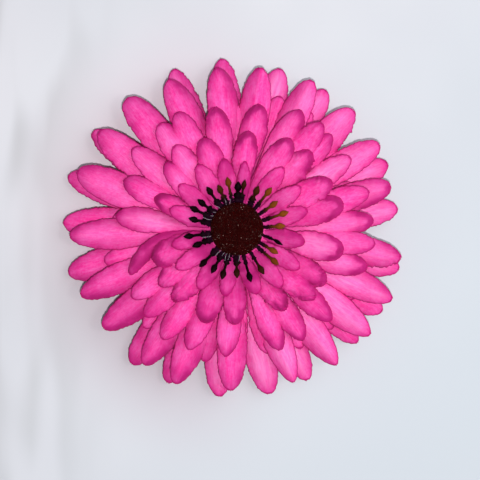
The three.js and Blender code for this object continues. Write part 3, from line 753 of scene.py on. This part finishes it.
def add_stamen(build, number, azimuth, reach, olive, bend_end=None, breadth=1.0):
    """A flattened stem with a broad knobbly foot and a pointed anther, rising from the ring."""
    rng = np.random.default_rng(STAMEN_SEEDS + number)
    slope = math.atan(STAMEN_SLOPE)
    length = (reach - STAMEN_ROOT) / math.cos(slope)
    steps = int(length / STAMEN_STEP)
    s = np.linspace(0, length, steps + 1)
    x = STAMEN_ROOT + s
    half = stamen_half_width(length - s, FOOT_END - x) * breadth
    slim = SLIM_FOOT if olive > SLIM_FROM_OLIVE or azimuth > SLIM_FROM_AZIMUTH else 1.0
    half = np.where(x < FOOT_END, np.maximum(half * slim, NECK_HALF_WIDTH), half)
    bend_end = STAMEN_BEND * scatter(number, 31) if bend_end is None else bend_end
    angles = turn(STAMEN_SIDES)
    knobs = rng.normal(0, 1, (steps + 1, STAMEN_SIDES))
    knobs = (knobs + np.roll(knobs, 1, 0) + np.roll(knobs, 1, 1) + np.roll(knobs, -1, 1)) / 2
    roughness = np.where(x < FOOT_END + 0.3, FOOT_ROUGHNESS, ANTHER_ROUGHNESS)[:, None]
    radius = half[:, None] * (1 + roughness * knobs)
    bend = bend_end * (s / length) ** 2
    droop = -STAMEN_DROOP * (s / length) ** 3
    side = bend[:, None] + radius * np.cos(angles)[None, :]
    up = droop[:, None] + radius * STAMEN_FLATNESS * np.sin(angles)[None, :]
    out = STAMEN_ROOT + s[:, None] * math.cos(slope) - up * math.sin(slope)
    z = RING_BOTTOM + RING_THICKNESS / 2 + s[:, None] * math.sin(slope) + up * math.cos(slope)
    heading = math.radians(azimuth)
    points = np.stack([
        out * math.cos(heading) - side * math.sin(heading),
        out * math.sin(heading) + side * math.cos(heading),
        z,
    ], axis=-1)
    outer = np.repeat(s / length, STAMEN_SIDES)
    build.add(points, closed_tube_faces(steps, STAMEN_SIDES), olive=olive, outer=outer, strand=0.0)


def add_strand(build, number, azimuth):
    """A fine strand of pale glue drawn out from under the button, over the stamens' feet."""
    rng = np.random.default_rng(STRAND_SEEDS + number)
    s = np.linspace(0, 1, STRAND_STEPS + 1)
    r = STRAND_START + rng.uniform(*STRAND_LENGTHS) * s
    aside = STRAND_SLANT * scatter(number, 51) * s + STRAND_WAVINESS * np.sin(5 * s + number)
    heading = np.radians(azimuth + aside)
    stamen_height = RING_BOTTOM + RING_THICKNESS / 2 + (r - STAMEN_ROOT) * STAMEN_SLOPE
    height = stamen_height + STRAND_HEIGHT - STRAND_DROOP * s**3
    middle = np.stack([r * np.cos(heading), r * np.sin(heading), height], axis=-1)
    sideways = np.stack([-np.sin(heading), np.cos(heading), 0 * heading], axis=-1)
    angles = turn(STRAND_SIDES)
    ring = np.cos(angles)[None, :, None] * sideways[:, None, :]
    ring = ring + np.sin(angles)[None, :, None] * np.array([0, 0, 1.0])
    points = middle[:, None, :] + STRAND_RADIUS * ring
    build.add(points, closed_tube_faces(STRAND_STEPS, STRAND_SIDES), olive=0.0, outer=0.0, strand=1.0)


def stamens(material):
    """The ring under the button, its stamens, and the strands of glue."""
    build = Build()
    vertices, faces = washer(RING_RADIUS, RING_BOTTOM, RING_BOTTOM + RING_THICKNESS)
    build.add(vertices, faces, olive=0.0, outer=0.0, strand=0.0)
    for number, stamen in enumerate(STAMENS):
        add_stamen(build, number, *stamen)
    for number, azimuth in enumerate(STRANDS):
        add_strand(build, number, azimuth)
    return build.piece("stamens", material, ["stamen_ring"])


# Button


def button_height(radius):
    """Height of the dome over the button's underside at a distance from its middle."""
    rise = math.sqrt(max(1 - (radius / BUTTON_RADIUS) ** 2, 0))
    return BUTTON_RIM_HEIGHT + (BUTTON_HEIGHT - BUTTON_RIM_HEIGHT) * rise


def add_dome(build, rng):
    """The button's body: a low dome, a little out of round, its top uneven with flock."""
    angles = turn(BUTTON_SIDES)
    wobble = 1 + OUT_OF_ROUND[0] * np.sin(5 * angles + 1.3) + OUT_OF_ROUND[1] * np.sin(9 * angles)
    dome = np.sin(np.linspace(math.pi / 2, 0, BUTTON_RINGS + 1))[:-1] * BUTTON_RADIUS
    outline = [(BUTTON_RADIUS + inset, height) for inset, height in BUTTON_RIM]
    outline += [(radius, button_height(radius)) for radius in dome]
    rings = []
    for radius, height in outline:
        uneven = FLOCK_UNEVENNESS * rng.normal(0, 1, BUTTON_SIDES) * (height > 1)
        spread = radius * wobble
        z = BUTTON_BOTTOM + height + uneven
        rings.append(np.stack([spread * np.cos(angles), spread * np.sin(angles), z], axis=-1))
    points = np.concatenate(rings)
    faces = tube_faces(len(outline) - 1, BUTTON_SIDES)
    last = (len(outline) - 1) * BUTTON_SIDES
    top, bottom = len(points), len(points) + 1
    points = np.concatenate([points, [[0, 0, BUTTON_BOTTOM + BUTTON_HEIGHT], [0, 0, BUTTON_BOTTOM]]])
    for s in range(BUTTON_SIDES):
        after = (s + 1) % BUTTON_SIDES
        faces.append((last + s, last + after, top))
        faces.append((after, s, bottom))
    build.add(points, faces, fibre=0.0)


def add_fibre(build, rng):
    """One fibre of the flock, a thin spike that stands out of the dome. A few are pale: they make specks,
    painted glints of light.
    """
    radius = BUTTON_RADIUS * math.sqrt(rng.uniform(0, 1))
    angle = rng.uniform(0, 2 * math.pi)
    foot = BUTTON_BOTTOM + button_height(radius) - FIBRE_SINK
    base = np.array([radius * math.cos(angle), radius * math.sin(angle), foot])
    slope = radius / BUTTON_RADIUS
    lean = np.array([slope * math.cos(angle), slope * math.sin(angle), 1.0]) + rng.normal(0, FIBRE_LEAN, 3)
    lean /= np.linalg.norm(lean)
    side = np.cross(lean, rng.normal(0, 1, 3))
    side /= np.linalg.norm(side)
    other = np.cross(lean, side)
    # The pale fibres are painted glints
    pale = 1.0 if rng.uniform() < PALE_FIBRE_SHARE else FIBRE_TINT * rng.uniform() ** 4
    half = FIBRE_HALF_WIDTH * (PALE_FIBRE_BREADTH if pale == 1 else 1)
    corners = [base + half * (math.cos(a) * side + math.sin(a) * other) for a in turn(3)]
    tip = base + lean * FIBRE_LENGTH * rng.uniform(0.7, 1.2)
    build.add([*corners, tip], [(0, 1, 3), (1, 2, 3), (2, 0, 3), (2, 1, 0)], fibre=pale)


def button(material):
    build = Build()
    rng = np.random.default_rng(BUTTON_SEED)
    add_dome(build, rng)
    for _ in range(FIBRES):
        add_fibre(build, rng)
    return build.piece("button", material, ["centre_button"])


# Materials


class Shader:
    """A material whose nodes are added one by one."""

    def __init__(self, name):
        self.material = bpy.data.materials.new(name)
        self.material.use_nodes = True
        self.tree = self.material.node_tree
        self.bsdf = next(node for node in self.tree.nodes if node.type == "BSDF_PRINCIPLED")

    def set(self, **values):
        for name, value in values.items():
            self.bsdf.inputs[name.replace("_", " ")].default_value = value

    def drive(self, name, source):
        self.tree.links.new(source, self.bsdf.inputs[name])

    def fill(self, socket, value):
        """Links an output to a socket, or sets a plain value on it."""
        if isinstance(value, bpy.types.NodeSocket):
            self.tree.links.new(value, socket)
        else:
            socket.default_value = value

    def node(self, kind, settings=None, **inputs):
        """Adds a node. Its inputs are given by name, or as _0, _1 by number."""
        made = self.tree.nodes.new(kind)
        for name, value in (settings or {}).items():
            setattr(made, name, value)
        for name, value in inputs.items():
            self.fill(made.inputs[int(name[1:]) if name[0] == "_" else name], value)
        return made

    def attribute(self, name):
        return self.node("ShaderNodeAttribute", {"attribute_name": name}).outputs["Fac"]

    def math(self, operation, a, b=0.0):
        return self.node("ShaderNodeMath", {"operation": operation}, _0=a, _1=b).outputs[0]

    def ramp(self, value, low, high, to_low=0.0, to_high=1.0):
        """A smooth step of a value between low and high."""
        made = self.node("ShaderNodeMapRange", {"interpolation_type": "SMOOTHSTEP"}, Value=value)
        for name, number in (("From Min", low), ("From Max", high), ("To Min", to_low), ("To Max", to_high)):
            made.inputs[name].default_value = number
        return made.outputs["Result"]

    def mix(self, factor, a, b):
        made = self.node("ShaderNodeMix", {"data_type": "RGBA"})
        for name, value in (("Factor", factor), ("A", a), ("B", b)):
            self.fill(next(s for s in made.inputs if s.name == name and s.enabled), value)
        return next(s for s in made.outputs if s.enabled)

    def noise(self, vector, scale, detail, roughness=0.5):
        """Noise over a vector. Where this is a place, a scale of 1000 gives spots about 1 mm wide."""
        inputs = {"Vector": vector, "Scale": scale, "Detail": detail, "Roughness": roughness}
        return self.node("ShaderNodeTexNoise", **inputs).outputs["Fac"]

    def place(self):
        return self.node("ShaderNodeTexCoord").outputs["Object"]

    def drawn_out(self, across, along):
        """Coordinates for noise that runs in streaks along a petal, and differs from petal to petal."""
        width = self.math("MULTIPLY", self.attribute("width"), across)
        reach = self.math("MULTIPLY", self.attribute("reach"), along)
        return self.node("ShaderNodeCombineXYZ", X=width, Y=reach, Z=self.attribute("tone")).outputs[0]

    def bump(self, height, strength, distance):
        made = self.node("ShaderNodeBump", Strength=strength, Distance=distance * MM, Height=height)
        self.drive("Normal", made.outputs["Normal"])


def colour(red, green, blue):
    return (red, green, blue, 1.0)


# A painted sheen: the pale lilac where the fabric would catch the light
PETAL_SHEEN = colour(1.0, 0.33, 0.71)
PETAL_BRIGHT = colour(1.0, 0.117, 0.487)
PETAL_DEEP = colour(1.0, 0.034, 0.33)
# Painted shade: of a curled tip, and darker still of a tip bent far down
PETAL_SHADE = colour(0.50, 0.013, 0.18)
PETAL_DEEP_SHADE = colour(0.31, 0.006, 0.1)
PETAL_EDGE = colour(0.49, 0.004, 0.15)
THREAD_PITCH = 0.34
# Width of the painted shade along a petal's outline
EDGE_SHADE_WIDTH = 0.9
HEM = (0.14, 0.41)


def petal_fabric():
    """Woven polyester, pressed and dyed: bright in the middle, with painted shade deepening to the tip, a
    painted sheen in pale streaks, and dark at the cut edge.
    """
    shader = Shader("petal_fabric")
    place = shader.place()
    blotch = shader.noise(place, scale=160.0, detail=3.0)
    streak = shader.noise(shader.drawn_out(1.0, 0.12), scale=1.1, detail=3.0)
    mottle = shader.math("ADD", shader.math("MULTIPLY", blotch, 0.5), shader.math("MULTIPLY", streak, 0.5))
    grain = shader.math("MULTIPLY", shader.noise(place, scale=1300.0, detail=3.0), 0.5)
    depth = shader.ramp(shader.math("ADD", mottle, grain), 0.56, 0.94)
    body = shader.mix(depth, PETAL_BRIGHT, PETAL_DEEP)
    # Painted sheen, in pale streaks on the petals that have it
    painted_sheen = shader.math("MULTIPLY", shader.attribute("pale"), shader.ramp(streak, 0.4, 0.6, 0.5, 1.3))
    body = shader.mix(painted_sheen, body, PETAL_SHEEN)
    # Fine streaks of painted highlight and of painted shade, along the petal
    fine = shader.noise(shader.drawn_out(3.2, 0.4), scale=1.1, detail=3.0, roughness=0.65)
    body = shader.mix(shader.ramp(fine, 0.5, 0.68, 0.0, 0.23), body, PETAL_SHEEN)
    body = shader.mix(shader.ramp(fine, 0.5, 0.34, 0.0, 0.16), body, PETAL_SHADE)
    # Painted shade of curled tips, fallen sides and the flower's throat, deepest on tips bent far down
    dye = shader.math("MULTIPLY", shader.attribute("dye"), shader.ramp(blotch, 0.3, 0.7, 0.6, 1.05))
    body = shader.mix(shader.math("MINIMUM", dye, 1.0), body, PETAL_SHADE)
    body = shader.mix(shader.ramp(dye, 0.8, 1.8), body, PETAL_DEEP_SHADE)
    edge = shader.attribute("edge")
    # Painted shade deepening toward the outline, where the edges curl down
    body = shader.mix(shader.ramp(edge, 0.0, EDGE_SHADE_WIDTH, 0.3, 0.0), body, PETAL_SHADE)
    body = shader.mix(shader.ramp(edge, *HEM, 0.85, 0.0), body, PETAL_EDGE)
    shader.drive("Base Color", body)
    turns = 2 * math.pi / THREAD_PITCH
    warp = shader.math("SINE", shader.math("MULTIPLY", shader.attribute("width"), turns))
    weft = shader.math("SINE", shader.math("MULTIPLY", shader.attribute("reach"), turns))
    weave = shader.math("MULTIPLY", warp, weft)
    height = shader.math("ADD", shader.math("MULTIPLY", weave, 0.35), shader.math("MULTIPLY", blotch, 1.2))
    shader.bump(height, strength=0.45, distance=0.1)
    shader.drive("Roughness", shader.ramp(weave, -1.0, 1.0, 0.5, 0.62))
    shader.set(Sheen_Weight=0.03, Sheen_Roughness=0.5, Specular_IOR_Level=0.1)
    return shader.material


def stamen_plastic():
    """Plastic painted near-black, with a painted violet reflection of the petals on the feet, bare and
    olive-brown on some anthers, and pale strands of glue.
    """
    shader = Shader("stamen_plastic")
    outer = shader.attribute("outer")
    speck = shader.noise(shader.place(), scale=900.0, detail=3.0)
    bare = shader.math("MULTIPLY", shader.attribute("olive"), shader.ramp(outer, 0.35, 0.85))
    bare = shader.math("MULTIPLY", bare, shader.ramp(speck, 0.3, 0.55, 0.7, 1.0))
    black, plum_reflection = colour(0.004, 0.0006, 0.0016), colour(0.017, 0.002, 0.011)
    olive_brown, glue = colour(0.215, 0.055, 0.007), colour(0.42, 0.36, 0.42)
    # Toward the feet the black takes a painted violet reflection of the pink petals
    body = shader.mix(shader.ramp(outer, 0.55, 0.2), black, plum_reflection)
    body = shader.mix(bare, body, olive_brown)
    body = shader.mix(shader.attribute("strand"), body, glue)
    shader.drive("Base Color", body)
    shader.drive("Roughness", shader.ramp(speck, 0.2, 0.8, 0.35, 0.6))
    shader.set(Specular_IOR_Level=0.02)
    shader.bump(speck, strength=0.3, distance=0.1)
    return shader.material


def button_flock():
    """Dark maroon flock, with single fibres catching the light."""
    shader = Shader("button_flock")
    place = shader.place()
    grain = shader.noise(place, scale=2600.0, detail=2.0)
    patches = shader.noise(place, scale=420.0, detail=3.0)
    darkest, maroon = colour(0.008, 0.0001, 0.0002), colour(0.045, 0.001, 0.001)
    worn, pale = colour(0.02, 0.0006, 0.0006), colour(0.9, 0.68, 0.6)
    body = shader.mix(shader.ramp(grain, 0.35, 0.75), darkest, maroon)
    body = shader.mix(shader.ramp(patches, 0.4, 0.7, 0.0, 0.4), body, worn)
    body = shader.mix(shader.ramp(shader.attribute("fibre"), 0.0, 1.0), body, pale)
    shader.drive("Base Color", body)
    shader.drive("Roughness", shader.ramp(grain, 0.2, 0.8, 0.8, 1.0))
    shader.set(Specular_IOR_Level=0.02)
    shader.bump(grain, strength=0.6, distance=0.2)
    return shader.material


def moulded_plastic(name, dark, light, roughness):
    """Plain moulded plastic, with the faint mottle and grain of its mould."""
    shader = Shader(name)
    place = shader.place()
    mottle = shader.noise(place, scale=300.0, detail=4.0)
    shader.drive("Base Color", shader.mix(shader.ramp(mottle, 0.3, 0.7), dark, light))
    shader.drive("Roughness", shader.ramp(mottle, 0.3, 0.7, roughness - 0.06, roughness + 0.08))
    shader.bump(shader.noise(place, scale=1400.0, detail=3.0), strength=0.2, distance=0.1)
    return shader.material


def dress_solids():
    """Gives the pin and the cap, which keep their solids, their plastics."""
    white = moulded_plastic("white_plastic", colour(0.7, 0.69, 0.64), colour(0.82, 0.8, 0.76), 0.4)
    green = moulded_plastic("green_plastic", colour(0.045, 0.12, 0.03), colour(0.07, 0.17, 0.05), 0.45)
    for node, finish in (("pin", white), ("back_cap", green)):
        for material_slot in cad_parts[node].material_slots:
            material_slot.material = finish


# Stage, lights and camera


def floor():
    """A pale surface, mottled, with soft grey bands of painted wrinkle shade at the left, a cooler, dimmer
    painted light at the lower right, and by the flower painted bounce light from the petals turning to
    painted shadow.
    """
    shader = Shader("pale_surface")
    place = shader.place()
    spot = shader.node("ShaderNodeSeparateXYZ", Vector=place)
    x, y = spot.outputs[0], spot.outputs[1]
    distance = shader.node("ShaderNodeVectorMath", {"operation": "LENGTH"}, _0=place).outputs["Value"]

    def between(value, places, *strengths):
        return shader.ramp(value, places[0] * MM, places[1] * MM, *strengths)

    dim, bright, warm = colour(0.635, 0.645, 0.68), colour(0.71, 0.72, 0.75), colour(0.71, 0.66, 0.70)
    grey, cool = colour(0.52, 0.52, 0.535), colour(0.565, 0.615, 0.655)
    rosy, dusky = colour(0.71, 0.63, 0.685), colour(0.56, 0.49, 0.54)
    cloud = shader.noise(place, scale=9.0, detail=3.0)
    tint = shader.noise(place, scale=5.0, detail=1.0)
    body = shader.mix(shader.ramp(cloud, 0.3, 0.7), dim, bright)
    body = shader.mix(shader.ramp(tint, 0.4, 0.7, 0.0, 0.35), body, warm)
    # Painted shade of soft wrinkles in the surface, in grey bands at the left
    wrinkle_place = shader.node("ShaderNodeCombineXYZ", X=x, Y=shader.math("MULTIPLY", y, 0.22))
    wrinkle_shade = shader.ramp(shader.noise(wrinkle_place.outputs[0], scale=42.0, detail=2.0), 0.45, 0.6, 0.0, 0.9)
    left = shader.math("MULTIPLY", between(x, WRINKLE_SHADE_X), between(distance, WRINKLE_SHADE_DISTANCE))
    body = shader.mix(shader.math("MULTIPLY", wrinkle_shade, left), body, grey)
    # Painted light: cooler and dimmer toward the lower right
    slant = shader.math("SUBTRACT", x, y)
    body = shader.mix(between(slant, COOL_SLANT, 0.0, 0.9), body, cool)
    # Painted bounce light from the petals at the flower's left, turning to painted shadow lower down
    near = shader.math("MULTIPLY", between(distance, BOUNCE_DISTANCE, 0.0, 0.75), between(x, BOUNCE_X))
    body = shader.mix(near, body, shader.mix(between(y, DUSK_Y), rosy, dusky))
    shader.drive("Base Color", body)
    shader.set(Roughness=0.7, Specular_IOR_Level=0.2)
    bpy.ops.mesh.primitive_plane_add(size=FLOOR_SIDE * MM, location=(0, 0, FLOOR_TOP * MM))
    made = bpy.context.object
    made.name = "floor"
    made.data.materials.append(shader.material)


def light(name, kind, place, watts, tint, size):
    data = bpy.data.lights.new(name, kind)
    data.energy = watts
    data.color = tint
    if kind == "AREA":
        data.size = size * MM
    else:
        data.shadow_soft_size = size * MM
    made = bpy.data.objects.new(name, data)
    made.location = [value * MM for value in place]
    made.rotation_euler = (-Vector(place)).to_track_quat("-Z", "Y").to_euler()
    bpy.context.scene.collection.objects.link(made)


def room():
    """The soft light from all round."""
    world = bpy.data.worlds.new("room")
    bpy.context.scene.world = world
    world.use_nodes = True
    background = world.node_tree.nodes["Background"]
    background.inputs["Color"].default_value = ROOM_TINT
    background.inputs["Strength"].default_value = ROOM_STRENGTH


def camera():
    data = bpy.data.cameras.new("camera")
    data.lens = CAMERA_LENS
    data.sensor_width = CAMERA_SENSOR
    data.clip_start = 10 * MM
    made = bpy.data.objects.new("camera", data)
    made.location = [value * MM for value in CAMERA_PLACE]
    bpy.context.scene.collection.objects.link(made)
    bpy.context.scene.camera = made


camera()
for settings in LIGHTS:
    light(*settings)
room()
floor()
fabric = petal_fabric()
for sheet_number, sheet in enumerate(SHEETS):
    petal_sheet(sheet, sheet_number, fabric)
stamens(stamen_plastic())
button(button_flock())
dress_solids()
bpy.context.scene.view_settings.view_transform = "Standard"
